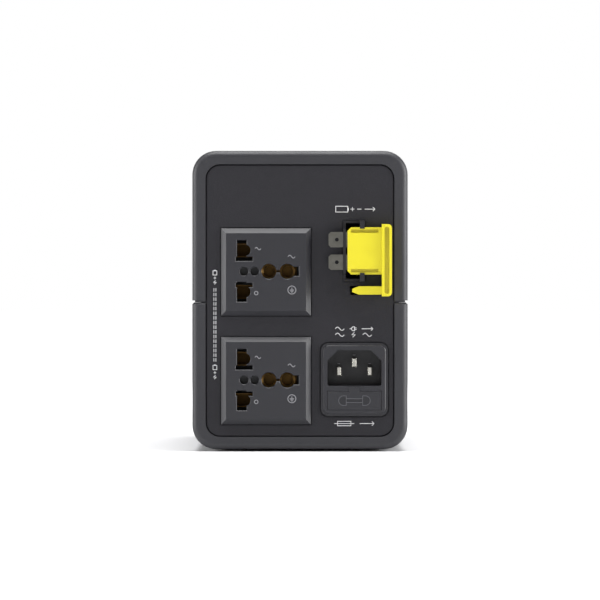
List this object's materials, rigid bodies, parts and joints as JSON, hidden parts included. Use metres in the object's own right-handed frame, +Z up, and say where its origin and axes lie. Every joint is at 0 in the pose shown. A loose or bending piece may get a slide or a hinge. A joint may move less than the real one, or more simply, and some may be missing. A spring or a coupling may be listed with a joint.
{
  "type": "uninterruptible power supply",
  "caption": "Upright box uninterruptible power supply with universal outlets, a fused mains inlet, a yellow battery connector at the rear and a power button at the front.",
  "frame": {"origin": "centre of the base on the surface that the feet stand on", "axes": "+Z up, the rear with its sockets faces -Y, the front with its button faces +Y, +X to the right seen from behind"},
  "size_m": [0.097, 0.2889, 0.1354],
  "materials": {
    "case_abs": "finely textured",
    "panel_abs": "finely textured",
    "front_abs": "finely textured",
    "button_abs": "polished",
    "socket_plastic": "satin",
    "black_plastic": "matt",
    "clear_polycarbonate": "clear",
    "fuse_glass": "clear",
    "zinc_steel": "zinc plated",
    "rubber": "matt",
    "circuit_board": "solder resist",
    "nickel_brass": "nickel plated",
    "tinned_brass": "tin plated",
    "brass": "stamped",
    "yellow_plastic": "moulded satin",
    "battery_abs": "matt",
    "battery_plate": "cast",
    "foam": "foam",
    "core_steel": "varnished laminations",
    "bobbin_nylon": "moulded",
    "enamelled_copper": "enamelled",
    "aluminium": "extruded",
    "relay_plastic": "moulded",
    "capacitor_sleeve": "sleeved",
    "white_nylon": "moulded",
    "red_pvc": "extruded",
    "black_pvc": "extruded",
    "brown_pvc": "extruded",
    "blue_pvc": "extruded",
    "green_pvc": "extruded",
    "white_pvc": "extruded"
  },
  "bodies": {
    "case": {"battery_case": "battery_abs", "battery_lid": "battery_abs", "battery_negative_lead": "black_pvc", "battery_pads": "foam", "battery_plates": "battery_plate", "battery_port": "panel_abs", "battery_positive_lead": "red_pvc", "battery_terminals": "tinned_brass", "board_connectors": "white_nylon", "board_screws": "zinc_steel", "capacitors": "capacitor_sleeve", "case_screws": "zinc_steel", "earth_leads": "green_pvc", "front_board": "circuit_board", "front_board_screws": "zinc_steel", "front_panel": "front_abs", "fuse_clips": "brass", "heat_sink": "aluminium", "inlet_body": "socket_plastic", "inlet_earth_pin": "nickel_brass", "inlet_leads": "brown_pvc", "inlet_line_pin": "nickel_brass", "inlet_neutral_pin": "nickel_brass", "light_pipe": "clear_polycarbonate", "lower_shell": "case_abs", "main_board": "circuit_board", "port_contacts": "brass", "port_lead": "red_pvc", "power_transistors": "black_plastic", "rear_panel": "panel_abs", "relays": "relay_plastic", "rubber_feet": "rubber", "socket_leads": "blue_pvc", "socket_lower_base": "socket_plastic", "socket_lower_earth_contact": "brass", "socket_lower_face": "socket_plastic", "socket_lower_line_contact": "brass", "socket_lower_neutral_contact": "brass", "socket_upper_base": "socket_plastic", "socket_upper_earth_contact": "brass", "socket_upper_face": "socket_plastic", "socket_upper_line_contact": "brass", "socket_upper_neutral_contact": "brass", "status_leds": "clear_polycarbonate", "tactile_switch": "black_plastic", "transformer_bobbin": "bobbin_nylon", "transformer_bracket": "zinc_steel", "transformer_core": "core_steel", "transformer_leads": "white_pvc", "transformer_primary": "enamelled_copper", "transformer_screws": "zinc_steel", "transformer_secondary": "enamelled_copper", "upper_shell": "case_abs"},
    "power_button": {"power_button": "button_abs", "switch_plunger": "black_plastic"},
    "fuse_drawer": {"fuse_drawer": "socket_plastic", "fuse_glass": "fuse_glass", "fuse_caps": "nickel_brass"},
    "battery_plug": {"plug_body": "yellow_plastic", "plug_blades": "tinned_brass"}
  },
  "joints": [
    {"name": "button_press", "type": "slide", "parent": "case", "child": "power_button", "axis": [0, -1, 0], "range_m": [0, 0.0008], "stiffness_N_per_m": 1200},
    {"name": "fuse_drawer_slide", "type": "slide", "parent": "case", "child": "fuse_drawer", "axis": [0, -1, 0], "range_m": [0, 0.026]},
    {"name": "battery_plug_slide", "type": "slide", "parent": "case", "child": "battery_plug", "axis": [1, 0, 0], "range_m": [0, 0.022]}
  ]
}
